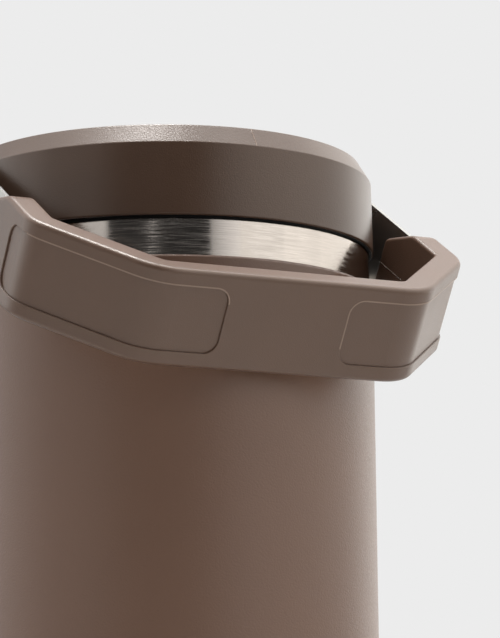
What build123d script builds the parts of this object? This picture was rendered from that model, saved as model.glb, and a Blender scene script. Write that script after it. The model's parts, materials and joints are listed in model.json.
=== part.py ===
"""Insulated straw tumbler: double-wall steel bottle, screw-in lid with a flip
spout and straw, and a bail handle with a moulded grip on a steel band.

Millimetres, +Z up, origin at the centre of the foot. The handle lies forward,
along -Y, and rests on the bottle wall."""
import os
from math import acos, asin, atan2, cos, degrees, hypot, radians, sin, sqrt, tan

from build123d import *

os.makedirs("parts", exist_ok=True)

# Bottle
body_radius = 44.8
foot_taper = 7.8
taper_top = 105.0
shoulder_height = 190.0
shoulder_round = 0.6
foot_round = 4.0
shell_wall = 0.6
vacuum_gap = 2.4
vessel_wall = 0.5
vessel_floor = 9.0
vessel_corner = 8.0
neck_inset = 0.7
neck_wall = 0.6
neck_height = 11.0
rim_lip = 0.8
rim_round = 0.35

# Foot and vacuum seal
foot_ring_height = 2.2
foot_ring_width = 6.0
base_disc_lap = 1.5
base_disc_thickness = 0.8
base_cover_thickness = 0.7
base_cover_gap = 0.1
bead_hole_radius = 1.5
bead_dome_radius = 3.0
bead_dome_height = 0.3
bead_pocket_gap = 0.1
getter_radius = 4.5
getter_bore = 1.6
getter_height = 2.0
getter_ring_gap = 8.5

# Lid cover
lid_overhang = 0.2
lid_skirt_depth = 3.0
lid_draft = 0.25
lid_wall_height = 15.05
lid_chamfer_height = 4.15
lid_chamfer_width = 2.8
lid_lip_round = 0.4
lid_edge_round = 0.35
skirt_gap = 0.3
lid_wall = 2.3
lid_chamfer_inset = 1.2
deck_thickness = 2.0
spigot_gap = 0.1
spigot_wall = 1.5
spigot_drop = 4.0

# Lid base and mouth seal
plug_gap = 1.4
plug_wall = 1.8
plug_depth = 12.5
plug_floor = 1.8
plug_round = 0.8
seal_thickness = 1.2
seal_inset = 0.2
seal_plug_gap = 0.3
flange_thickness = 1.6
flange_gap = 0.6
vent_x = 20.0
vent_y = 12.0
vent_hole_radius = 1.4
vent_stem_gap = 0.1
vent_disc_radius = 4.5
vent_disc_thickness = 0.8
vent_bulb_radius = 2.1
vent_bulb_height = 1.6

# Flip spout
spout_y = -4.0
hub_radius = 7.5
hub_deck_gap = 0.2
hub_width = 18.0
arm_root_width = 15.0
arm_root_height = 12.0
arm_tip_width = 12.0
arm_tip_height = 10.2
arm_corner = 3.0
arm_cover_lap = 0.3
spout_bore = 3.0
cover_hub_step = 0.2
cover_tip_width = 14.0
cover_straight = 18.0
cover_thickness = 1.7
cover_drop = 0.3
cover_corner = 3.0
cover_edge_round = 0.5
trough_side_gap = 0.6
trough_hub_gap = 0.6
trough_finger_gap = 5.7
trough_edge_width = 7.0
trough_wall = 1.6
trough_corner = 3.0
trough_rim_round = 0.4
trough_vent_x = 6.5
trough_vent_y = 12.0
trough_vent_radius = 0.8
spout_pin_radius = 2.0
spout_pin_depth = 3.0
spout_pin_gap = 0.05
spout_pin_end_gap = 0.2
spout_seal_radius = 6.0
spout_seal_seat = 0.8
spout_seal_fit = 0.05
spout_seal_gap = 0.3

# Straw
straw_radius = 4.0
straw_wall = 0.8
nipple_wall = 1.0
nipple_hole_gap = 0.3
sleeve_wall = 1.8
sleeve_length = 22.0
sleeve_fit = 0.02
sleeve_plug_gap = 0.5
straw_joint_gap = 1.0
straw_floor_gap = 4.5
straw_tip_slope = 35.0

# Handle pivots, on the X axis through both sides of the lid
pad_radius = 5.6
pad_proud = 0.4
boss_radius = 4.5
boss_flange_gap = 0.35
rivet_radius = 2.0
rivet_head_radius = 5.2
rivet_head_height = 1.6
rivet_head_round = 1.2
rivet_tail_radius = 3.2
rivet_tail_height = 1.0
rivet_gap = 0.05
rivet_tail_gap = 0.3
washer_radius = 4.3
washer_thickness = 0.8
bush_wall = 1.5
bush_flange_radius = 5.6
bush_flange_thickness = 0.9
band_side_gap = 0.1
band_bush_gap = 0.08

# Handle band and grip, in the handle's own plane
grip_band_cover = 2.3
grip_reach = 64.7
grip_side_cut = 19.5
grip_front_cut = 21.0
grip_thickness = 5.2
grip_height = 20.5
front_corner_round = 12.0
side_corner_round = 9.0
inner_extra = 0.7
inner_front_round = 3.0
inner_side_round = 1.5
grip_rim_round = 1.1
grip_inner_round = 0.8
grip_end_reach = 19.9
grip_end_height = 10.6
grip_slope_length = 10.6
grip_end_round = 1.5
grip_slope_round = 7.0
handle_rest_gap = 0.3
band_thickness = 0.8
band_height = 16.0
band_grip_gap = 0.03
panel_depth = 0.4
panel_height = 13.7
panel_half_gap = 13.6
panel_end_setback = 7.5
panel_corner = 3.0
panel_edge_round = 0.2
skin_depth = 0.05

# Worked-out sizes
base_radius = body_radius - foot_taper
foot_ring_inner = base_radius - foot_ring_width
getter_offset = foot_ring_inner - getter_ring_gap - getter_radius
taper_radius = (foot_taper**2 + taper_top**2) / (2 * foot_taper)
vessel_inset = shell_wall + vacuum_gap
bore_radius = body_radius - vessel_inset - vessel_wall
neck_radius = body_radius - neck_inset
rim_height = shoulder_height + neck_height
seal_top = rim_height + seal_thickness
flange_top = seal_top + flange_thickness
lid_radius = body_radius + lid_overhang
lid_top_radius = lid_radius - lid_chamfer_width
lid_height = rim_height - lid_skirt_depth
lid_wall_top = lid_height + lid_wall_height
lid_deck = lid_wall_top + lid_chamfer_height
deck_underside = lid_deck - deck_thickness
skirt_radius = neck_radius + skirt_gap
plug_radius = bore_radius - plug_gap
plug_bottom = rim_height - plug_depth
spigot_radius = plug_radius - plug_wall - spigot_gap
spout_z = lid_deck - hub_deck_gap - hub_radius
trough_floor = spout_z - hub_radius - trough_hub_gap
trough_front = spout_y - hub_radius - trough_hub_gap
trough_back = lid_top_radius - trough_edge_width
trough_half = hub_width / 2 + trough_side_gap
trough_middle = (trough_front + trough_back) / 2
spout_tip = trough_back - trough_finger_gap
cover_root_width = hub_width - 2 * cover_hub_step
arm_top = lid_deck - cover_drop - cover_thickness + arm_cover_lap
pin_inner = hub_width / 2 - spout_pin_depth + spout_pin_end_gap
seat_top = arm_top - arm_root_height - spout_seal_gap
nipple_bore = straw_radius - nipple_wall
sleeve_top = plug_bottom - sleeve_plug_gap
nipple_bottom = sleeve_top - sleeve_length / 2
straw_top = nipple_bottom - straw_joint_gap
straw_bottom = vessel_floor + straw_floor_gap
pivot_height = flange_top + boss_flange_gap + boss_radius
pad_face = lid_radius + pad_proud
bush_radius = rivet_radius + rivet_gap + bush_wall
band_inner = pad_face + bush_flange_thickness + band_side_gap
band_outer = band_inner + band_thickness
head_seat = band_outer + band_side_gap
washer_face = spigot_radius + rivet_tail_gap + rivet_tail_height
boss_face = washer_face + washer_thickness
grip_half_width = band_outer + grip_band_cover
grip_slope_reach = grip_end_reach + grip_slope_length
panel_end_reach = grip_reach - grip_front_cut - panel_end_setback

# The grip's rounded inner lower edge stands just off the bottle wall at rest
rest_reach = grip_reach - grip_thickness + grip_inner_round
rest_drop = grip_height / 2 - grip_inner_round
rest_distance = body_radius + handle_rest_gap + grip_inner_round
rest_angle = degrees(acos(rest_distance / hypot(rest_reach, rest_drop)) - atan2(rest_drop, rest_reach))
reach_dir = Vector(0, -cos(radians(rest_angle)), -sin(radians(rest_angle)))
width_dir = Vector(0, -sin(radians(rest_angle)), cos(radians(rest_angle)))
pivot_point = Vector(0, 0, pivot_height)
handle_plane = Plane(pivot_point, x_dir=(1, 0, 0), z_dir=width_dir)
handle_side = Plane(pivot_point, x_dir=reach_dir, z_dir=(-1, 0, 0))
handle_up = Axis(pivot_point, width_dir)
handle_reach = Axis(pivot_point, reach_dir)


def wall_section(inset, bottom, top, corner):
    """Half section of the bottle's inside, set in from its outer face."""
    radius = body_radius - inset
    arc_radius = taper_radius - inset
    turn = degrees(asin((taper_top - bottom) / arc_radius))
    with BuildSketch(Plane.XZ) as section:
        with BuildLine():
            wall = Line((radius, top), (radius, taper_top))
            taper = CenterArc((radius - arc_radius, taper_top), arc_radius, 0, -turn)
            Polyline(taper @ 1, (0, bottom), (0, top), wall @ 0)
        make_face()
        fillet(section.vertices().group_by(Axis.Y)[0].sort_by(Axis.X)[-1], corner)
    return section.sketch


def bail_points(inset, start, extra):
    """Corners of the grip's eight-sided outline, set in from its outer faces.

    The sides and the slanted parts are set in further by the extra."""
    side_turn = atan2(grip_side_cut, grip_front_cut)
    front_turn = radians(90) - side_turn
    side_x = grip_half_width - inset - extra
    side_u = grip_reach - grip_front_cut - (inset + extra) * tan(side_turn / 2)
    front_x = grip_half_width - grip_side_cut - inset * tan(front_turn / 2) - extra / cos(side_turn)
    front_u = grip_reach - inset
    half = [(side_x, -start), (side_x, -side_u), (front_x, -front_u)]
    return half + [(-x, y) for x, y in reversed(half)]


def bail_block(inset, start, low, height, rounds=(side_corner_round, front_corner_round), extra=0):
    """Full block inside the inset outline, upwards across the grip from low."""
    side_round, front_round = rounds
    with BuildPart() as block:
        with BuildSketch(handle_plane.offset(low)):
            with BuildLine():
                corner_rounds = [side_round, front_round, front_round, side_round]
                path = FilletPolyline(*bail_points(inset, start, extra), radius=corner_rounds)
                Line(path @ 1, path @ 0)
            make_face()
        extrude(amount=height)
    return block.part


def bail_shell(outer_inset, inner_inset, start, height):
    """Strip of even thickness between two inset outlines, centred across the grip."""
    with BuildPart() as strip:
        for inset, back, mode in ((outer_inset, 0, Mode.ADD), (inner_inset, band_thickness, Mode.SUBTRACT)):
            rounds = (side_corner_round - inset, front_corner_round - inset)
            add(bail_block(inset, start - back, -height / 2, height, rounds), mode=mode)
    return strip.part


# Outer shell: powder-coated wall with a rolled foot and a turned-in shoulder
with BuildPart() as outer_shell:
    add(wall_section(0, 0, shoulder_height, foot_round))
    revolve(axis=Axis.Z)
    shoulder_edge = outer_shell.edges().filter_by(GeomType.CIRCLE).group_by(Axis.Z)[-1]
    fillet(shoulder_edge, shoulder_round)
    add(wall_section(shell_wall, foot_ring_height, shoulder_height - shell_wall, foot_round / 2))
    revolve(axis=Axis.Z, mode=Mode.SUBTRACT)
    with BuildSketch(Plane.XY.offset(shoulder_height)):
        Circle(neck_radius - neck_wall)
    extrude(amount=-2 * shell_wall, mode=Mode.SUBTRACT)
    with BuildSketch(Plane.XY):
        Circle(foot_ring_inner)
    extrude(amount=foot_ring_height, mode=Mode.SUBTRACT)
outer_shell.part.label = "outer_shell"
export_step(outer_shell.part, "parts/outer_shell.step")

# Inner vessel: liner, rim and the brushed neck band in one steel piece
with BuildPart() as inner_vessel:
    add(wall_section(vessel_inset, vessel_floor - vessel_wall, rim_height, vessel_corner + vessel_wall))
    revolve(axis=Axis.Z)
    with BuildSketch(Plane.XY.offset(rim_height - rim_lip)):
        Circle(neck_radius)
    extrude(amount=rim_lip)
    with BuildSketch(Plane.XY.offset(shoulder_height)):
        Circle(neck_radius)
        Circle(neck_radius - neck_wall, mode=Mode.SUBTRACT)
    extrude(until=Until.NEXT)
    add(wall_section(vessel_inset + vessel_wall, vessel_floor, rim_height, vessel_corner))
    revolve(axis=Axis.Z, mode=Mode.SUBTRACT)
    rim_edges = inner_vessel.edges().filter_by(GeomType.CIRCLE).group_by(Axis.Z)[-1]
    fillet(rim_edges, rim_round)
inner_vessel.part.label = "inner_vessel"
export_step(inner_vessel.part, "parts/inner_vessel.step")

# Base disc: closes the vacuum space, lapped on the foot ring
with BuildPart() as base_disc:
    with BuildSketch(Plane.XY.offset(foot_ring_height)):
        Circle(foot_ring_inner + base_disc_lap)
        Circle(bead_hole_radius, mode=Mode.SUBTRACT)
    extrude(amount=base_disc_thickness)
base_disc.part.label = "base_disc"
export_step(base_disc.part, "parts/base_disc.step")

# Base cover: thin plate in the foot recess, with a pocket for the seal bead
with BuildPart() as base_cover:
    with BuildSketch(Plane.XY.offset(foot_ring_height)):
        Circle(foot_ring_inner - base_cover_gap)
    extrude(amount=-base_cover_thickness)
    with BuildSketch(Plane.XY.offset(foot_ring_height)):
        Circle(bead_dome_radius + bead_pocket_gap)
    extrude(amount=-bead_dome_height - bead_pocket_gap, mode=Mode.SUBTRACT)
base_cover.part.label = "base_cover"
export_step(base_cover.part, "parts/base_cover.step")

# Seal bead: a plug in the evacuation hole with a flat dome below
with BuildPart() as seal_bead:
    with BuildSketch(Plane.XY.offset(foot_ring_height)):
        Circle(bead_hole_radius)
    extrude(amount=base_disc_thickness)
    with BuildSketch(Plane.XY.offset(foot_ring_height)):
        Circle(bead_dome_radius)
    extrude(amount=-bead_dome_height, taper=30)
seal_bead.part.label = "seal_bead"
export_step(seal_bead.part, "parts/seal_bead.step")

# Getter: ring tablet on the base disc, in the vacuum space
with BuildPart() as getter:
    with BuildSketch(Plane.XY.offset(foot_ring_height + base_disc_thickness)):
        with Locations((getter_offset, 0)):
            Circle(getter_radius)
            Circle(getter_bore, mode=Mode.SUBTRACT)
    extrude(amount=getter_height)
getter.part.label = "getter"
export_step(getter.part, "parts/getter.step")

# Lid cover: outer wall, chamfered top, spout trough and the handle's pivot pads
with BuildPart() as lid_cover:
    with BuildSketch(Plane.XZ):
        with BuildLine():
            Polyline(
                (0, lid_height),
                (lid_radius, lid_height),
                (lid_radius - lid_draft, lid_wall_top),
                (lid_top_radius, lid_deck),
                (0, lid_deck),
                close=True,
            )
        make_face()
    revolve(axis=Axis.Z)
    lid_rings = lid_cover.edges().filter_by(GeomType.CIRCLE).group_by(Axis.Z)
    fillet(lid_rings[0], lid_lip_round)
    fillet(lid_rings[1] + lid_rings[2], lid_edge_round)
    with BuildSketch(Plane.XZ):
        with BuildLine():
            Polyline(
                (0, lid_height),
                (skirt_radius, lid_height),
                (skirt_radius, flange_top),
                (lid_radius - lid_wall, flange_top),
                (lid_radius - lid_wall, lid_wall_top - lid_chamfer_inset),
                (lid_top_radius - lid_wall, deck_underside),
                (0, deck_underside),
                close=True,
            )
        make_face()
    revolve(axis=Axis.Z, mode=Mode.SUBTRACT)
    with BuildSketch(Plane.XY.offset(flange_top - spigot_drop)):
        Circle(spigot_radius)
        Circle(spigot_radius - spigot_wall, mode=Mode.SUBTRACT)
    extrude(amount=deck_underside - flange_top + spigot_drop)
    with BuildSketch(Plane.XY.offset(trough_floor - trough_wall)) as trough_box:
        with Locations((0, trough_middle)):
            Rectangle(2 * (trough_half + trough_wall), trough_back - trough_front + 2 * trough_wall)
        fillet(trough_box.vertices().group_by(Axis.Y)[-1], trough_corner + trough_wall)
    extrude(amount=deck_underside - trough_floor + trough_wall)
    with BuildSketch(Plane.XY.offset(nipple_bottom)):
        with Locations((0, spout_y)):
            Circle(straw_radius)
    extrude(amount=trough_floor - trough_wall - nipple_bottom)
    with BuildSketch(Plane.XY.offset(trough_floor)) as trough:
        with Locations((0, trough_middle)):
            Rectangle(2 * trough_half, trough_back - trough_front)
        fillet(trough.vertices().group_by(Axis.Y)[-1], trough_corner)
    extrude(amount=lid_deck - trough_floor, mode=Mode.SUBTRACT)
    fillet(lid_cover.edges(Select.LAST).group_by(Axis.Z)[-1], trough_rim_round)
    with BuildSketch(Plane.XY.offset(trough_floor)):
        with Locations((0, spout_y)):
            Circle(spout_seal_radius)
    extrude(amount=-spout_seal_seat, mode=Mode.SUBTRACT)
    with BuildSketch(Plane.XY.offset(nipple_bottom)):
        with Locations((0, spout_y)):
            Circle(nipple_bore)
    extrude(amount=trough_floor - nipple_bottom, mode=Mode.SUBTRACT)
    with BuildSketch(Plane.XY.offset(trough_floor)):
        with Locations((trough_vent_x, trough_vent_y)):
            Circle(trough_vent_radius)
    extrude(amount=-trough_wall, mode=Mode.SUBTRACT)
    with BuildSketch(Plane.YZ):
        with Locations((spout_y, spout_z)):
            Circle(spout_pin_radius)
    extrude(amount=trough_half + trough_wall, both=True, mode=Mode.SUBTRACT)
    for side in (-1, 1):
        with BuildSketch(Plane.YZ.offset(side * boss_face)):
            with Locations((0, pivot_height)):
                Circle(boss_radius)
        extrude(amount=side * (lid_radius - lid_wall / 2 - boss_face))
        with BuildSketch(Plane.YZ.offset(side * (lid_radius - lid_wall / 2))):
            with Locations((0, pivot_height)):
                Circle(pad_radius)
        extrude(amount=side * (pad_proud + lid_wall / 2))
        with BuildSketch(Plane.YZ.offset(side * boss_face)):
            with Locations((0, pivot_height)):
                Circle(rivet_radius + rivet_gap)
        extrude(amount=side * (pad_face - boss_face), mode=Mode.SUBTRACT)
lid_cover.part.label = "lid_cover"
export_step(lid_cover.part, "parts/lid_cover.step")

# Lid base: plug that screws into the neck, with its flange over the mouth seal
with BuildPart() as lid_base:
    with BuildSketch(Plane.XY.offset(plug_bottom)):
        Circle(plug_radius)
    extrude(amount=seal_top - plug_bottom)
    plug_edge = lid_base.edges().filter_by(GeomType.CIRCLE).group_by(Axis.Z)[0]
    fillet(plug_edge, plug_round)
    with BuildSketch(Plane.XY.offset(seal_top)):
        Circle(skirt_radius - flange_gap)
    extrude(amount=flange_thickness)
    with BuildSketch(Plane.XY.offset(plug_bottom + plug_floor)):
        Circle(plug_radius - plug_wall)
    extrude(amount=flange_top - plug_bottom - plug_floor, mode=Mode.SUBTRACT)
    with BuildSketch(Plane.XY.offset(plug_bottom)):
        with Locations((0, spout_y)):
            Circle(straw_radius + nipple_hole_gap)
        with Locations((vent_x, vent_y)):
            Circle(vent_hole_radius)
    extrude(amount=plug_floor, mode=Mode.SUBTRACT)
lid_base.part.label = "lid_base"
export_step(lid_base.part, "parts/lid_base.step")

# Mouth seal: silicone ring between the rim and the plug's flange
with BuildPart() as mouth_seal:
    with BuildSketch(Plane.XY.offset(rim_height)):
        Circle(neck_radius - seal_inset)
        Circle(plug_radius + seal_plug_gap, mode=Mode.SUBTRACT)
    extrude(amount=seal_thickness)
mouth_seal.part.label = "mouth_seal"
export_step(mouth_seal.part, "parts/mouth_seal.step")

# Vent valve: umbrella disc under the plug, its stem and bulb through the vent hole
with BuildPart() as vent_valve:
    with BuildSketch(Plane.XY.offset(plug_bottom)):
        with Locations((vent_x, vent_y)):
            Circle(vent_disc_radius)
    extrude(amount=-vent_disc_thickness, taper=20)
    with BuildSketch(Plane.XY.offset(plug_bottom)):
        with Locations((vent_x, vent_y)):
            Circle(vent_hole_radius - vent_stem_gap)
    extrude(amount=plug_floor)
    with BuildSketch(Plane.XY.offset(plug_bottom + plug_floor)):
        with Locations((vent_x, vent_y)):
            Circle(vent_bulb_radius)
    extrude(amount=vent_bulb_height, taper=25)
vent_valve.part.label = "vent_valve"
export_step(vent_valve.part, "parts/vent_valve.step")

# Flip spout: hub, drinking arm and flush cover plate, bored straight through
with BuildPart() as spout_cover:
    with BuildSketch(Plane.XY.offset(lid_deck - cover_drop - cover_thickness)) as cover_plate:
        with BuildLine():
            Polyline(
                (cover_root_width / 2, spout_y),
                (cover_root_width / 2, spout_y + cover_straight),
                (cover_tip_width / 2, spout_tip),
                (-cover_tip_width / 2, spout_tip),
                (-cover_root_width / 2, spout_y + cover_straight),
                (-cover_root_width / 2, spout_y),
                close=True,
            )
        make_face()
        fillet(cover_plate.vertices().group_by(Axis.Y)[-1], cover_corner)
    extrude(amount=cover_thickness)
    fillet(spout_cover.edges().group_by(Axis.Z)[-1], cover_edge_round)

with BuildPart() as flip_spout:
    with BuildSketch(Plane.YZ.offset(-hub_width / 2)):
        with Locations((spout_y, spout_z)):
            Circle(hub_radius)
    extrude(amount=hub_width)
    with BuildSketch(Plane.XZ.offset(-spout_y)):
        with Locations((0, arm_top - arm_root_height / 2)):
            RectangleRounded(arm_root_width, arm_root_height, arm_corner)
    with BuildSketch(Plane.XZ.offset(-spout_tip)):
        with Locations((0, arm_top - arm_tip_height / 2)):
            RectangleRounded(arm_tip_width, arm_tip_height, arm_corner)
    loft()
    add(spout_cover.part)
    with BuildSketch(Plane.XZ.offset(-spout_tip)):
        with Locations((0, spout_z)):
            Circle(spout_bore)
    extrude(amount=spout_tip - spout_y + hub_radius, mode=Mode.SUBTRACT)
    for side in (-1, 1):
        with BuildSketch(Plane.YZ.offset(side * hub_width / 2)):
            with Locations((spout_y, spout_z)):
                Circle(spout_pin_radius + spout_pin_gap)
        extrude(amount=-side * spout_pin_depth, mode=Mode.SUBTRACT)
flip_spout.part.label = "flip_spout"
export_step(flip_spout.part, "parts/flip_spout.step")

# Stub pins: pressed into the trough's side walls, one at each end of the hub
for side, name in ((-1, "left"), (1, "right")):
    with BuildPart() as spout_pin:
        with BuildSketch(Plane.YZ.offset(side * (trough_half + trough_wall))):
            with Locations((spout_y, spout_z)):
                Circle(spout_pin_radius)
        extrude(amount=side * (pin_inner - trough_half - trough_wall))
    spout_pin.part.label = f"spout_pin_{name}"
    export_step(spout_pin.part, f"parts/spout_pin_{name}.step")

# Spout seal: silicone seat around the straw port, hollowed to the hub
with BuildPart() as spout_seal:
    with BuildSketch(Plane.XY.offset(trough_floor - spout_seal_seat)):
        with Locations((0, spout_y)):
            Circle(spout_seal_radius - spout_seal_fit)
            Circle(nipple_bore, mode=Mode.SUBTRACT)
    extrude(amount=seat_top - trough_floor + spout_seal_seat)
    with BuildSketch(Plane.YZ):
        with Locations((spout_y, spout_z)):
            Circle(hub_radius + spout_seal_gap)
    extrude(amount=hub_width, both=True, mode=Mode.SUBTRACT)
spout_seal.part.label = "spout_seal"
export_step(spout_seal.part, "parts/spout_seal.step")

# Straw sleeve: silicone tube over the nipple above and the straw below
with BuildPart() as straw_sleeve:
    with BuildSketch(Plane.XY.offset(sleeve_top)):
        with Locations((0, spout_y)):
            Circle(straw_radius + sleeve_wall)
            Circle(straw_radius + sleeve_fit, mode=Mode.SUBTRACT)
    extrude(amount=-sleeve_length)
straw_sleeve.part.label = "straw_sleeve"
export_step(straw_sleeve.part, "parts/straw_sleeve.step")

# Straw: tube with its lower end cut on a slope
with BuildPart() as straw:
    with BuildSketch(Plane.XY.offset(straw_bottom)):
        with Locations((0, spout_y)):
            Circle(straw_radius)
            Circle(straw_radius - straw_wall, mode=Mode.SUBTRACT)
    extrude(amount=straw_top - straw_bottom)
    slope = radians(straw_tip_slope)
    split(bisect_by=Plane((0, spout_y - straw_radius, straw_bottom), z_dir=(0, -sin(slope), cos(slope))))
straw.part.label = "straw"
export_step(straw.part, "parts/straw.step")

# Handle pivots: rivet, flanged bush and backing washer on each side
for side, name in ((-1, "left"), (1, "right")):
    with BuildPart() as pivot_washer:
        with BuildSketch(Plane.YZ.offset(side * boss_face)):
            with Locations((0, pivot_height)):
                Circle(washer_radius)
                Circle(rivet_radius + rivet_gap, mode=Mode.SUBTRACT)
        extrude(amount=-side * washer_thickness)
    pivot_washer.part.label = f"pivot_washer_{name}"
    export_step(pivot_washer.part, f"parts/pivot_washer_{name}.step")

    with BuildPart() as pivot_bush:
        with BuildSketch(Plane.YZ.offset(side * pad_face)):
            with Locations((0, pivot_height)):
                Circle(bush_flange_radius)
                Circle(rivet_radius + rivet_gap, mode=Mode.SUBTRACT)
        extrude(amount=side * bush_flange_thickness)
        with BuildSketch(Plane.YZ.offset(side * pad_face)):
            with Locations((0, pivot_height)):
                Circle(bush_radius)
                Circle(rivet_radius + rivet_gap, mode=Mode.SUBTRACT)
        extrude(amount=side * (head_seat - pad_face))
    pivot_bush.part.label = f"pivot_bush_{name}"
    export_step(pivot_bush.part, f"parts/pivot_bush_{name}.step")

    with BuildPart() as pivot_rivet:
        with BuildSketch(Plane.YZ.offset(side * washer_face)):
            with Locations((0, pivot_height)):
                Circle(rivet_radius)
        extrude(amount=side * (head_seat - washer_face))
        with BuildSketch(Plane.YZ.offset(side * washer_face)):
            with Locations((0, pivot_height)):
                Circle(rivet_tail_radius)
        extrude(amount=-side * rivet_tail_height)
        with BuildSketch(Plane.YZ.offset(side * head_seat)):
            with Locations((0, pivot_height)):
                Circle(rivet_head_radius)
        extrude(amount=side * rivet_head_height)
        outer_edge = pivot_rivet.edges().filter_by(GeomType.CIRCLE).sort_by(Axis.X)[-1 if side > 0 else 0]
        fillet(outer_edge, rivet_head_round)
    pivot_rivet.part.label = f"pivot_rivet_{name}"
    export_step(pivot_rivet.part, f"parts/pivot_rivet_{name}.step")

# Handle band: one steel strip from pivot eye to pivot eye, bent inside the grip
with BuildPart() as handle_band:
    band_core = grip_band_cover + band_thickness
    add(bail_shell(grip_band_cover, band_core, -band_height / 2, band_height))
    with BuildSketch(handle_side):
        Circle(band_height / 2)
        with Locations((grip_reach / 2, 0)):
            Rectangle(grip_reach, band_height)
    extrude(amount=grip_half_width, both=True, mode=Mode.INTERSECT)
    with BuildSketch(handle_side):
        Circle(bush_radius + band_bush_gap)
    extrude(amount=grip_half_width, both=True, mode=Mode.SUBTRACT)
handle_band.part.label = "handle_band"
export_step(handle_band.part, "parts/handle_band.step")

# Handle grip: one moulding round the band, with sloped ends and two shallow panels
with BuildPart() as grip_cavity:
    cavity_inset = grip_band_cover - band_grip_gap
    cavity_depth = band_thickness + 2 * band_grip_gap
    add(bail_shell(cavity_inset, cavity_inset + cavity_depth, 0, band_height + 2 * band_grip_gap))

with BuildPart() as panel_cutter:
    add(bail_shell(-panel_depth, panel_depth, 0, panel_height))
    with BuildSketch(handle_plane.offset(-panel_height)):
        with Locations((grip_half_width, -(panel_end_reach + grip_reach) / 2)):
            Rectangle(2 * (grip_half_width - panel_half_gap), grip_reach - panel_end_reach + 2 * panel_depth)
    extrude(amount=2 * panel_height, mode=Mode.INTERSECT)
    front_end = panel_cutter.faces().sort_by(Axis.X)[0].edges().filter_by(handle_reach)
    side_end = panel_cutter.faces().sort_by(handle_reach)[0].edges().filter_by(Axis.X)
    fillet(front_end + side_end, panel_corner)

grip_skin = bail_shell(-skin_depth, skin_depth, 0, grip_height)
with BuildPart() as handle_grip:
    add(bail_block(0, grip_end_reach, -grip_height, 2 * grip_height))
    with BuildSketch(handle_side) as grip_profile:
        with BuildLine():
            Polyline(
                (grip_end_reach, grip_end_height / 2),
                (grip_slope_reach, grip_height / 2),
                (grip_reach + grip_thickness, grip_height / 2),
                (grip_reach + grip_thickness, -grip_height / 2),
                (grip_slope_reach, -grip_height / 2),
                (grip_end_reach, -grip_end_height / 2),
                close=True,
            )
        make_face()
        fillet(grip_profile.vertices().group_by(Axis.X)[-2], grip_slope_round)
        fillet(grip_profile.vertices().group_by(Axis.X)[0], grip_end_round)
    extrude(amount=grip_half_width + grip_thickness, both=True, mode=Mode.INTERSECT)
    uprights = handle_grip.edges().filter_by(handle_up).sort_by(handle_reach)
    outer_rims = handle_grip.edges().filter_by(handle_up, reverse=True)
    outer_rims = outer_rims.filter_by(lambda edge: edge.length < 2 * grip_half_width - grip_thickness)
    fillet(outer_rims + uprights[:2], grip_rim_round)
    inner_start = grip_end_reach - grip_thickness
    inner_rounds = (inner_side_round, inner_front_round)
    hand_space = bail_block(grip_thickness, inner_start, -grip_height, 2 * grip_height, inner_rounds, inner_extra)
    add(hand_space, mode=Mode.SUBTRACT)
    inner_walls = handle_grip.faces(Select.LAST).filter_by_position(
        handle_reach, grip_end_reach + grip_thickness, grip_reach
    )
    inner_walls = inner_walls.filter_by(lambda face: abs(face.normal_at().dot(width_dir)) < 0.01)
    fillet(inner_walls.edges().filter_by(handle_up, reverse=True), grip_inner_round)
    add(grip_cavity.part, mode=Mode.SUBTRACT)
    for cutter in (panel_cutter.part, panel_cutter.part.mirror(Plane.YZ)):
        add(cutter, mode=Mode.SUBTRACT)
        panel_edges = handle_grip.edges(Select.LAST)
        fillet(panel_edges.filter_by(lambda edge: grip_skin.is_inside(edge @ 0.5)), panel_edge_round)
handle_grip.part.label = "handle_grip"
export_step(handle_grip.part, "parts/handle_grip.step")
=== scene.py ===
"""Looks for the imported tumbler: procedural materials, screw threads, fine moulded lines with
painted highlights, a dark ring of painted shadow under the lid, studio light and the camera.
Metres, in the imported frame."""

import json
from math import atan2, cos, radians, sin, tan, tau

import bmesh
import bpy
from mathutils import Matrix, Vector


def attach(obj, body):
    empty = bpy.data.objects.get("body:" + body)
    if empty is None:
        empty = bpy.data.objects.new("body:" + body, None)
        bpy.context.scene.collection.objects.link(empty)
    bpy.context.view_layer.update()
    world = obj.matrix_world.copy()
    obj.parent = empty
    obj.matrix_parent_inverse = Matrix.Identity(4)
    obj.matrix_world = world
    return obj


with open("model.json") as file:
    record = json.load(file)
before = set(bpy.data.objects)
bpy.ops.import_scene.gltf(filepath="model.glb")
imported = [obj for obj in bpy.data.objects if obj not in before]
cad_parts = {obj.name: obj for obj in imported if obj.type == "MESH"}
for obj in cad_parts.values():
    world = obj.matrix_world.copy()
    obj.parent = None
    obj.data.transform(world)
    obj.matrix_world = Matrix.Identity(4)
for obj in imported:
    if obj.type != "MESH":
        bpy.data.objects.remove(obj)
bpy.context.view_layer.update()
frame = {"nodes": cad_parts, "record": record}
nodes = frame["nodes"]
upward = Vector((0, 0, 1))

# Camera, fitted to the view
camera_place = Vector((-0.27423, -0.56530, 0.07207))
camera_azimuth = atan2(camera_place.y, camera_place.x)
camera_yaw = radians(27.5595)
camera_tilt = radians(10.1577)
camera_roll = radians(-0.5644)
camera_lens = 168.25

# Tones and tints
background_grey = 0.839
ambient_strength = 0.05
neutral = (1.0, 1.0, 1.0)
warm_light = (1.0, 0.965, 0.90)
lid_sheen = (1.0, 0.95, 0.90)
grip_sheen = (1.0, 0.97, 0.90)
taupe_lid = (0.0680, 0.0372, 0.0232)
taupe_grip = (0.0996, 0.0548, 0.0359)
# Paler taupe of the painted highlight on the fine lips and marks
painted_highlight_taupe = (0.22, 0.147, 0.108)
taupe_body = (0.1437, 0.0790, 0.0517)


def grey(tone):
    """Colour with one tone in all channels."""
    return (tone, tone, tone)


def shade(colour, factor):
    """Colour made lighter or darker by a factor."""
    return tuple(channel * factor for channel in colour)


# ---- Shader building blocks ----

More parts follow.
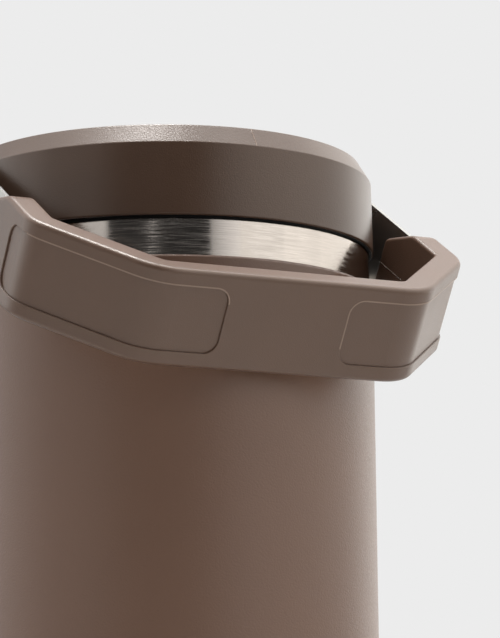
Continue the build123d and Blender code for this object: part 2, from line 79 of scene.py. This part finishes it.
def new_material(name):
    """New material with its node tree and its shader."""
    material = bpy.data.materials.new(name)
    material.use_nodes = True
    tree = material.node_tree
    return material, tree, tree.nodes["Principled BSDF"]


def add_node(tree, kind, **inputs):
    """New node with some sockets set, named with underscores for spaces."""
    node = tree.nodes.new(kind)
    for key, value in inputs.items():
        node.inputs[key.replace("_", " ")].default_value = value
    return node


def frame_coordinates(tree, stretch=(1.0, 1.0, 1.0)):
    """Object coordinates, stretched along each axis."""
    place = add_node(tree, "ShaderNodeTexCoord")
    mapping = add_node(tree, "ShaderNodeMapping", Scale=stretch)
    tree.links.new(place.outputs["Object"], mapping.inputs["Vector"])
    return mapping.outputs["Vector"]


def noise(tree, vector, scale, detail=2.0, roughness=0.5):
    """Noise texture's value at a scale in cycles per metre."""
    node = add_node(tree, "ShaderNodeTexNoise", Scale=scale, Detail=detail, Roughness=roughness)
    tree.links.new(vector, node.inputs["Vector"])
    return node.outputs["Fac"]


def ranged(tree, value, low, high, source_low=0.3, source_high=0.7):
    """Value mapped from a source range, by default noise's middle one, to low..high."""
    node = add_node(
        tree, "ShaderNodeMapRange",
        From_Min=source_low, From_Max=source_high, To_Min=low, To_Max=high,
    )
    tree.links.new(value, node.inputs["Value"])
    return node.outputs["Result"]


def mixed(tree, factor, first, second):
    """Colour between first and second by factor. Each is a colour or a socket."""
    node = tree.nodes.new("ShaderNodeMix")
    node.data_type = "RGBA"
    tree.links.new(factor, node.inputs["Factor"])
    for key, source in (("A", first), ("B", second)):
        if isinstance(source, tuple):
            node.inputs[key].default_value = (*source, 1.0)
        else:
            tree.links.new(source, node.inputs[key])
    return node.outputs["Result"]


def calculated(tree, kind, operation, *sources):
    """Result of a math node of a kind on some sockets."""
    node = tree.nodes.new(kind)
    node.operation = operation
    for i, source in enumerate(sources):
        tree.links.new(source, node.inputs[i])
    return node.outputs["Value"]


def blended(tree, factor, first, second):
    """Shader between first and second by factor."""
    node = tree.nodes.new("ShaderNodeMixShader")
    for i, source in enumerate((factor, first, second)):
        tree.links.new(source, node.inputs[i])
    return node.outputs["Shader"]


def toned(tree, shader, value, colour, darkest, palest):
    """Base colour that follows a noise value from a darker to a paler tone of one colour."""
    tint = mixed(tree, ranged(tree, value, 0.0, 1.0), shade(colour, darkest), shade(colour, palest))
    tree.links.new(tint, shader.inputs["Base Color"])


def bumped(tree, shader, height, depth):
    """Bump of a real depth on the shader."""
    node = add_node(tree, "ShaderNodeBump", Strength=1.0, Distance=depth)
    tree.links.new(height, node.inputs["Height"])
    tree.links.new(node.outputs["Normal"], shader.inputs["Normal"])


# ---- Materials ----

def moulded(name, colour, roughness=0.32, grain=4500.0, depth=0.00003, sheen=neutral, gloss=0.5):
    """Moulded plastic: fine grain, cloudy tone and gloss, and highlights of a slight tint."""
    cloud_scale, cloud_detail, grain_detail = 45.0, 3.0, 1.0
    tone_spread, roughness_spread = 0.05, 0.03
    material, tree, shader = new_material(name)
    place = frame_coordinates(tree)
    cloud = noise(tree, place, cloud_scale, cloud_detail)
    toned(tree, shader, cloud, colour, 1 - tone_spread, 1 + tone_spread)
    uneven = ranged(tree, cloud, roughness - roughness_spread, roughness + roughness_spread)
    tree.links.new(uneven, shader.inputs["Roughness"])
    shader.inputs["Specular IOR Level"].default_value = gloss
    shader.inputs["Specular Tint"].default_value = (*sheen, 1.0)
    bumped(tree, shader, noise(tree, place, grain, grain_detail), depth)
    return material


def powder(name, colour, roughness=0.40, pebble_scale=2600.0, depth=0.00006):
    """Powder coat: pebbled skin whose gloss follows its pebbles."""
    cloud_scale, cloud_detail = 30.0, 3.0
    tone_spread, roughness_spread = 0.03, 0.06
    material, tree, shader = new_material(name)
    place = frame_coordinates(tree)
    cloud = noise(tree, place, cloud_scale, cloud_detail)
    toned(tree, shader, cloud, colour, 1 - tone_spread, 1 + tone_spread)
    pebble = noise(tree, place, pebble_scale)
    uneven = ranged(tree, pebble, roughness - roughness_spread, roughness + roughness_spread)
    tree.links.new(uneven, shader.inputs["Roughness"])
    bumped(tree, shader, pebble, depth)
    return material


def brushed(name, colour, stretch, roughness, depth=0.000004, detail=4.0, edge=0.2, turned=False):
    """Brushed metal whose lines run along the axes that are stretched least.

    The edge is how far the lines' noise reaches either side of its middle when it
    sets the roughness. Turned metal is brushed round the Z axis, and smears its
    highlights across the lines."""
    line_roughness, darkest, palest = 0.7, 0.88, 1.08
    smear, smear_turn = 0.93, 0.25
    material, tree, shader = new_material(name)
    place = frame_coordinates(tree, stretch)
    line = noise(tree, place, 1.0, detail, line_roughness)
    toned(tree, shader, line, colour, darkest, palest)
    shader.inputs["Metallic"].default_value = 1.0
    uneven = ranged(tree, line, *roughness, 0.5 - edge, 0.5 + edge)
    tree.links.new(uneven, shader.inputs["Roughness"])
    bumped(tree, shader, line, depth)
    if turned:
        tangent = tree.nodes.new("ShaderNodeTangent")
        tangent.direction_type = "RADIAL"
        tangent.axis = "Z"
        tree.links.new(tangent.outputs["Tangent"], shader.inputs["Tangent"])
        shader.inputs["Anisotropic"].default_value = smear
        shader.inputs["Anisotropic Rotation"].default_value = smear_turn
    return material


def rubber(name, colour, roughness=0.45, depth=0.00001):
    """Pale silicone: soft sheen, some light let through."""
    cloud_scale, skin_scale, darkest, palest = 120.0, 3000.0, 0.95, 1.03
    glow, glow_depth = 0.25, 0.002
    material, tree, shader = new_material(name)
    place = frame_coordinates(tree)
    cloud = noise(tree, place, cloud_scale)
    toned(tree, shader, cloud, colour, darkest, palest)
    shader.inputs["Roughness"].default_value = roughness
    shader.inputs["Subsurface Weight"].default_value = glow
    shader.inputs["Subsurface Scale"].default_value = glow_depth
    bumped(tree, shader, noise(tree, place, skin_scale), depth)
    return material


looks = {
    "powder_coat": (powder, dict(colour=taupe_body)),
    "brushed_steel": (brushed, dict(
        colour=(0.501, 0.455, 0.413), stretch=(150.0, 150.0, 5200.0), roughness=(0.09, 0.23),
        depth=0.000006, detail=2.0, edge=0.1, turned=True)),
    "plain_steel": (brushed, dict(
        colour=(0.58, 0.57, 0.55), stretch=(2500.0, 60.0, 60.0), roughness=(0.43, 0.29))),
    "solder": (brushed, dict(
        colour=(0.50, 0.49, 0.47), stretch=(400.0, 400.0, 400.0), roughness=(0.48, 0.34))),
    "getter_alloy": (moulded, dict(
        colour=(0.06, 0.06, 0.062), roughness=0.7, grain=1500.0, depth=0.00006)),
    "silicone": (rubber, dict(colour=(0.62, 0.59, 0.55))),
    "lid_plastic": (moulded, dict(
        colour=taupe_lid, roughness=0.31, grain=3400.0, depth=0.000026, sheen=lid_sheen)),
    "plug_plastic": (moulded, dict(colour=taupe_lid, roughness=0.4, grain=3000.0, depth=0.00001)),
    "spout_plastic": (moulded, dict(colour=taupe_lid, roughness=0.36, grain=3000.0, depth=0.00002)),
    "straw_plastic": (moulded, dict(
        colour=(0.55, 0.52, 0.48), roughness=0.35, grain=900.0, depth=0.000004)),
    "pin_steel": (brushed, dict(
        colour=(0.60, 0.58, 0.55), stretch=(60.0, 2500.0, 60.0), roughness=(0.33, 0.19))),
    # Black acetal of the bushes, with very little gloss; the ring of painted shadow under the lid's
    # lip is made of it too
    "bush_plastic": (moulded, dict(
        colour=grey(0.004), roughness=0.6, grain=2000.0, depth=0.00001, gloss=0.06)),
    "band_steel": (brushed, dict(
        colour=(0.40, 0.39, 0.37), stretch=(7000.0, 45.0, 45.0), roughness=(0.38, 0.24))),
    "grip_plastic": (moulded, dict(colour=taupe_grip, roughness=0.37, sheen=grip_sheen)),
}
materials = {slot: make(slot, **options) for slot, (make, options) in looks.items()}
for part in frame["record"]["subparts"]:
    for slot in nodes[part["node"]].material_slots:
        slot.material = materials[part["material_slot"]]

# Paler plastic: a painted highlight on the fine panel lips and the lid's mould mark
painted_highlight_plastic = moulded("painted_highlight_plastic", painted_highlight_taupe, roughness=0.37, sheen=grip_sheen)


# ---- Pieces added to the solids ----

def new_object(name, data):
    """New object of the scene with its data."""
    piece = bpy.data.objects.new(name, data)
    bpy.context.scene.collection.objects.link(piece)
    return piece


def heading(places, i):
    """Direction of a line of places at one of them."""
    return (places[min(i + 1, len(places) - 1)] - places[max(i - 1, 0)]).normalized()


def swept(name, stations, section, body, slot, look=None):
    """Closed ridge with one section carried along its stations, in its slot's look by default.

    A station is its place, the section's side and outward directions, and its growth."""
    crease = radians(50)
    points, faces = [], []
    count = len(section)
    for place, side, outward, growth in stations:
        for across, proud in section:
            points.append(place + side * across + outward * (proud * growth))
    for i in range(len(stations) - 1):
        for j in range(count):
            k = (j + 1) % count
            a, b = i * count, (i + 1) * count
            faces.append((a + j, a + k, b + k, b + j))
    faces.append(tuple(reversed(range(count))))
    faces.append(tuple(range(len(points) - count, len(points))))
    mesh = bpy.data.meshes.new(name)
    mesh.from_pydata(points, [], faces)
    shape = bmesh.new()
    shape.from_mesh(mesh)
    bmesh.ops.recalc_face_normals(shape, faces=shape.faces)
    shape.to_mesh(mesh)
    shape.free()
    mesh.shade_smooth()
    mesh.set_sharp_from_angle(angle=crease)
    mesh.materials.append(look or materials[slot])
    piece = new_object(name, mesh)
    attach(piece, body)


def mirrored(half):
    """Section made of a half and its mirror image."""
    return [(-across, proud) for across, proud in reversed(half)] + half


# Sizes repeated from the solids
rim_height = 0.201
bore_radius = 0.0413
plug_radius = 0.0399
chamfer_low = Vector((0, -0.04475, 0.21305))
chamfer_high = Vector((0, -0.0422, 0.2172))
pivot = Vector((0, 0, 0.20865))
rest_angle = radians(32.32801)
grip_end_reach = 0.0199
grip_inner_half = [Vector((0.0436, 0.041383)), Vector((0.026777, 0.0595))]
grip_inner_rounds = [0.0015, 0.003, 0.003, 0.0015]
grip_outer_half = [Vector((0.0300, 0.0647)), Vector((0.0495, 0.0437)), Vector((0.0495, 0.0362))]
grip_outer_rounds = [0.012, 0.009]
panel_inner_end = 0.0130

# Screw threads, which fade out at both ends
thread_half_section = [(0.0003, 0.0006), (0.0005, 0.00052), (0.0008, 0.00012), (0.00095, -0.0001)]
thread_pitch = 0.006
thread_turns = 1.25
thread_steps = 90
thread_fade = 1 / 8
thread_least = 0.05
neck_thread_drop = 0.0105
plug_thread_rise = thread_pitch / 2 - 0.0015


def thread(name, radius, outward, low, body, slot):
    """Rounded screw thread on a bore (outward -1) or on a plug (outward 1)."""
    stations = []
    for i in range(thread_steps + 1):
        share = i / thread_steps
        turn = thread_turns * tau * share
        fade = min(1.0, share / thread_fade, (1 - share) / thread_fade)
        radial = Vector((cos(turn), sin(turn), 0))
        place = radius * radial + Vector((0, 0, low + thread_pitch * turn / tau))
        growth = thread_least + (1 - thread_least) * fade
        stations.append((place, upward, outward * radial, growth))
    swept(name, stations, mirrored(thread_half_section), body, slot)


neck_thread_low = rim_height - neck_thread_drop
thread("neck_thread", bore_radius, -1, neck_thread_low, "bottle", "brushed_steel")
thread("plug_thread", plug_radius, 1, neck_thread_low + plug_thread_rise, "lid", "plug_plastic")

# The grip's own plane: reach away from the pivots, and width across the grip's face
reach_way = Vector((0, -cos(rest_angle), -sin(rest_angle)))
width_way = Vector((0, -sin(rest_angle), cos(rest_angle)))


def grip_place(point, height=0.0):
    """Place in the frame of a point of the grip's plane, at a height across its face."""
    return pivot + Vector((point.x, 0, 0)) + reach_way * point.y + width_way * height


def rounded_path(corners, rounds, steps):
    """Flat path through some corners, with each one between the ends rounded."""
    path = [corners[0]]
    for before, corner, after, radius in zip(corners, corners[1:], corners[2:], rounds):
        back = (before - corner).normalized()
        on = (after - corner).normalized()
        half = back.angle(on) / 2
        centre = corner + (back + on).normalized() * (radius / sin(half))
        start = (corner + back * (radius / tan(half)) - centre).normalized()
        end = (corner + on * (radius / tan(half)) - centre).normalized()
        path += [centre + radius * start.slerp(end, i / steps) for i in range(steps + 1)]
    return path + [corners[-1]]


# Parting line left by the mould round the grip's inner wall
line_section = mirrored([(0.00006, 0.00005), (0.00012, -0.0001)])
seam_end_gap = 0.0006
seam_round_steps = 6
seam_end = Vector((grip_inner_half[0].x, grip_end_reach + seam_end_gap))
seam_half = [seam_end] + grip_inner_half
seam_corners = seam_half + [Vector((-corner.x, corner.y)) for corner in reversed(seam_half)]
seam_path = rounded_path(seam_corners, grip_inner_rounds, seam_round_steps)
grip_middle = Vector((0, 0.03))
seam = []
for i, point in enumerate(seam_path):
    run = heading(seam_path, i)
    inward = Vector((-run.y, run.x))
    if inward.dot(grip_middle - point) < 0:
        inward = -inward
    outward = Vector((inward.x, 0, 0)) + reach_way * inward.y
    seam.append((grip_place(point), width_way, outward, 1.0))
swept("grip_parting_line", seam, line_section, "handle", "grip_plastic")


def along(path, distance):
    """Place and direction at a distance along a flat path."""
    for start, end in zip(path, path[1:]):
        length = (end - start).length
        if distance <= length:
            return start.lerp(end, distance / length), (end - start) / length
        distance -= length
    return path[-1], (path[-1] - path[-2]).normalized()


# Fine lips on the upper edges of the grip's two panels, wrapped round its outer face, paler as a
# painted highlight.
# The right panel's lip also runs up the panel's inner end. Both stop short of the grip's
# widest place, so that they don't stand out past it.
lip_section = [
    (0.00026, -0.0001), (0.00022, 0.00003), (0.0001, 0.00005),
    (-0.00004, 0.00003), (-0.00006, -0.0002),
]
outer_round_steps = 12
outer_corners = [Vector((panel_inner_end, grip_outer_half[0].y))] + grip_outer_half
outer_path = rounded_path(outer_corners, grip_outer_rounds, outer_round_steps)
outer_length = sum((end - start).length for start, end in zip(outer_path, outer_path[1:]))
lip_low, lip_high = -0.0036, 0.00697
lip_round = 0.0031
lip_end = 0.0005
lip_widest = 0.0492
lip_rise_steps, lip_round_steps, lip_run_steps = 12, 8, 60
lip_fade_steps, lip_least = 6, 0.1


def lip_marks(with_rise):
    """Distances along the outer path and heights of a lip, from its inner end."""
    marks = []
    if with_rise:
        rise = lip_high - lip_round - lip_low
        marks += [(lip_end, lip_low + rise * i / lip_rise_steps) for i in range(lip_rise_steps)]
    for i in range(lip_round_steps + 1):
        turn = radians(90) * (1 - i / lip_round_steps)
        distance = lip_end + lip_round * (1 - sin(turn))
        marks.append((distance, lip_high - lip_round * (1 - cos(turn))))
    run = outer_length - lip_end - 2 * lip_round
    for i in range(1, lip_run_steps + 1):
        marks.append((lip_end + lip_round + run * i / lip_run_steps, lip_high))
    return marks


for side, name in ((1, "right"), (-1, "left")):
    places, outwards = [], []
    for distance, height in lip_marks(with_rise=side > 0):
        point, way = along(outer_path, distance)
        if point.x < lip_widest:
            places.append(grip_place(Vector((side * point.x, point.y)), height))
            outwards.append(Vector((-side * way.y, 0, 0)) + reach_way * way.x)
    lip = []
    for i, (place, outward) in enumerate(zip(places, outwards)):
        ends = min(i, len(places) - 1 - i)
        fade = min(1.0, lip_least + ends / lip_fade_steps)
        lip.append((place, outward.cross(heading(places, i)), outward, fade))
    turned_section = [(across * side, proud) for across, proud in lip_section]
    swept(f"panel_lip_{name}", lip, turned_section, "handle", "grip_plastic", painted_highlight_plastic)

# Dark ring of painted shadow in the gap between the lid's lip and the neck, which leans a little to
# one side
lip_shadow_radius = 0.0444
lip_shadow_height = 0.19765
lip_shadow_lean = 0.00028
lip_shadow_rise = Vector((0.886, -0.463, 0))
lip_shadow_steps = 120
lip_shadow_section = [
    (-0.00028, -0.0002), (-0.0003, 0.0), (-0.0002, 0.0002),
    (0.0003, 0.00028), (0.0003, -0.0002),
]
lip_shadow = []
for i in range(lip_shadow_steps + 1):
    turn = tau * i / lip_shadow_steps
    radial = Vector((cos(turn), sin(turn), 0))
    height = lip_shadow_height + lip_shadow_lean * radial.dot(lip_shadow_rise)
    lip_shadow.append((lip_shadow_radius * radial + Vector((0, 0, height)), upward, radial, 1.0))
swept("painted_lip_shadow", lip_shadow, lip_shadow_section, "lid", "bush_plastic")

# Mould mark up the lid's chamfer, in front, fading out at both ends, paler as a painted highlight
mark_shift = Vector((-0.0006, 0, 0))
mark_start, mark_run = 0.03, 0.94
mark_steps = 8
mark_fade = 1 / 4
mark_least = 0.05
chamfer_up = (chamfer_high - chamfer_low).normalized()
chamfer_out = Vector((0, -chamfer_up.z, chamfer_up.y))
mark = []
for i in range(mark_steps + 1):
    share = i / mark_steps
    place = chamfer_low.lerp(chamfer_high, mark_start + mark_run * share) + mark_shift
    fade = min(1.0, share / mark_fade, (1 - share) / mark_fade)
    mark.append((place, Vector((1, 0, 0)), chamfer_out, fade + mark_least))
swept("lid_mould_mark", mark, line_section, "lid", "lid_plastic", painted_highlight_plastic)


# ---- Studio ----

# Floor, seen darker than it lights the part, and passing into the background far away
floor_reach = 6.0
floor_cloud_scale = 3.0
floor_lit = (grey(0.61), grey(0.64))
floor_seen = (grey(0.42), grey(0.44))
floor_fade_start, floor_fade_end = 0.30, 0.95

floor_mesh = bpy.data.meshes.new("floor")
floor_ways = ((-1, -1), (1, -1), (1, 1), (-1, 1))
floor_corners = [(x * floor_reach, y * floor_reach, 0) for x, y in floor_ways]
floor_mesh.from_pydata(floor_corners, [], [(0, 1, 2, 3)])
floor = new_object("floor", floor_mesh)
floor_material, tree, shader = new_material("floor_paint")
floor_place = frame_coordinates(tree)
floor_cloud = noise(tree, floor_place, floor_cloud_scale)
is_camera_ray = tree.nodes.new("ShaderNodeLightPath").outputs["Is Camera Ray"]
floor_tint = mixed(
    tree, is_camera_ray, mixed(tree, floor_cloud, *floor_lit), mixed(tree, floor_cloud, *floor_seen)
)
tree.links.new(floor_tint, shader.inputs["Base Color"])
shader.inputs["Roughness"].default_value = 0.8
shader.inputs["Specular IOR Level"].default_value = 0.1
floor_distance = calculated(tree, "ShaderNodeVectorMath", "LENGTH", floor_place)
floor_share = ranged(tree, floor_distance, 0.0, 1.0, floor_fade_start, floor_fade_end)
floor_fade = calculated(tree, "ShaderNodeMath", "MULTIPLY", floor_share, is_camera_ray)
floor_glow = add_node(tree, "ShaderNodeEmission", Color=(*grey(background_grey), 1), Strength=1.0)
floor_surface = blended(tree, floor_fade, shader.outputs["BSDF"], floor_glow.outputs["Emission"])
tree.links.new(floor_surface, tree.nodes["Material Output"].inputs["Surface"])
floor_mesh.materials.append(floor_material)

# Dark card behind the camera, mirrored by the steel, with a pale ramp at each end
card_distance = 1.30
card_height = 1.50
card_grey = 0.03
card_half_turn = radians(27.2)
card_ramp = radians(16.6)
card_shift = radians(-2.2)
card_steps = 172
card_reach = card_half_turn + card_ramp
right_ramp_start, right_ramp_growth, right_ramp_power = 0.45, 0.90, 0.8
left_ramp_start, left_ramp_growth = 0.3, 5


def card_tone(turn):
    """Tone of the card at a turn from its middle: the right ramp is slow, the left one fast."""
    share = (abs(turn) - card_half_turn) / card_ramp
    if share <= 0:
        return 0.0
    if turn > 0:
        return right_ramp_start + right_ramp_growth * share**right_ramp_power
    return background_grey * min(1.0, left_ramp_start + left_ramp_growth * share)


card_mesh = bpy.data.meshes.new("card")
card_points, card_tones = [], []
for i in range(card_steps + 1):
    turn = card_reach * (2 * i / card_steps - 1)
    azimuth = camera_azimuth + card_shift + turn
    for height in (0.0, card_height):
        card_points.append((card_distance * cos(azimuth), card_distance * sin(azimuth), height))
        card_tones.append(card_tone(turn))
card_faces = [(2 * i, 2 * i + 2, 2 * i + 3, 2 * i + 1) for i in range(card_steps)]
card_mesh.from_pydata(card_points, [], card_faces)
card_layer = card_mesh.color_attributes.new("tone", "FLOAT_COLOR", "POINT")
for point, tone in zip(card_layer.data, card_tones):
    point.color = (*grey(tone), 1.0)
card = new_object("card", card_mesh)
card_material, tree, shader = new_material("card_paint")
shader.inputs["Base Color"].default_value = (*grey(card_grey), 1)
shader.inputs["Roughness"].default_value = 0.9
card_glow = tree.nodes.new("ShaderNodeVertexColor")
card_glow.layer_name = "tone"
tree.links.new(card_glow.outputs["Color"], shader.inputs["Emission Color"])
shader.inputs["Emission Strength"].default_value = 1.0
card_mesh.materials.append(card_material)
card.visible_camera = False

# Lamps, aimed at the axis of the part
lid_aim = 0.18


def softbox(name, azimuth, height, distance, size, power, aim=lid_aim, colour=neutral):
    """Area lamp round the part, at an azimuth in degrees from the camera's own."""
    data = bpy.data.lights.new(name, "AREA")
    data.shape = "RECTANGLE"
    data.size, data.size_y = size
    data.energy = power
    data.color = colour
    turn = camera_azimuth + radians(azimuth)
    lamp = new_object(name, data)
    lamp.location = (distance * cos(turn), distance * sin(turn), height)
    lamp.rotation_mode = "QUATERNION"
    lamp.rotation_quaternion = (Vector((0, 0, aim)) - lamp.location).to_track_quat("-Z", "Y")
    lamp.visible_camera = False


softbox("top_box", -90, height=1.08, distance=0.06, size=(0.25, 0.25), power=8.58)
softbox("top_wide_box", 0, height=1.12, distance=0.05, size=(0.9, 0.9), power=5.01)
softbox("top_back_box", 180, height=1.05, distance=0.25, size=(0.5, 0.3), power=1.30)
high_box = dict(height=0.959, distance=0.45, size=(0.45, 0.6))
softbox("left_high_box", -90, **high_box, power=1.29)
softbox("right_high_box", 90, **high_box, power=1.39)
softbox("right_back_high_box", 135, **high_box, power=0.89)
softbox("right_middle_box", 70, height=0.734, distance=0.709, size=(0.62, 0.6), power=1.24)

# Tall upright panels, 27 degrees apart and edge to edge, with their powers by azimuth
panel_powers = {-109: 2.28, -82: 1.07, 55: 0.88, 82: 1.14, 109: 1.26, 136: 2.15, 163: 1.12}
panel = dict(height=0.60, distance=0.9, size=(0.436, 1.1), aim=0.60)
for azimuth, power in panel_powers.items():
    tint = warm_light if azimuth > 0 else neutral
    softbox(f"panel_{azimuth + 180}", azimuth, **panel, power=power, colour=tint)
softbox("streak_box", -6, height=1.0, distance=1.2, size=(0.08, 0.5), power=0.85)

# World: the pale background where it is seen, mirrored or looked through, and otherwise
# a faint light
world = bpy.data.worlds.new("studio")
bpy.context.scene.world = world
world.use_nodes = True
tree = world.node_tree
tree.nodes.clear()
rays = tree.nodes.new("ShaderNodeLightPath").outputs
seen = calculated(tree, "ShaderNodeMath", "MAXIMUM", rays["Is Camera Ray"], rays["Is Glossy Ray"])
clear = calculated(tree, "ShaderNodeMath", "MAXIMUM", seen, rays["Is Transmission Ray"])
pale = add_node(tree, "ShaderNodeBackground", Color=(*grey(background_grey), 1), Strength=1.0)
ambient = add_node(tree, "ShaderNodeBackground", Color=(*neutral, 1), Strength=ambient_strength)
studio = blended(tree, clear, ambient.outputs["Background"], pale.outputs["Background"])
tree.links.new(studio, tree.nodes.new("ShaderNodeOutputWorld").inputs["Surface"])

# Camera
camera_data = bpy.data.cameras.new("camera")
camera_data.lens = camera_lens
camera_data.clip_start = 0.01
camera_data.clip_end = 50.0
camera = new_object("camera", camera_data)
flat = cos(camera_tilt)
ahead = Vector((sin(camera_yaw) * flat, cos(camera_yaw) * flat, sin(camera_tilt)))
level = Vector((cos(camera_yaw), -sin(camera_yaw), 0.0))
upright = level.cross(ahead)
right = cos(camera_roll) * level + sin(camera_roll) * upright
up = cos(camera_roll) * upright - sin(camera_roll) * level
turned = Matrix((right, up, -ahead)).transposed().to_4x4()
camera.matrix_world = Matrix.Translation(camera_place) @ turned
bpy.context.scene.camera = camera
bpy.context.scene.view_settings.view_transform = "Standard"
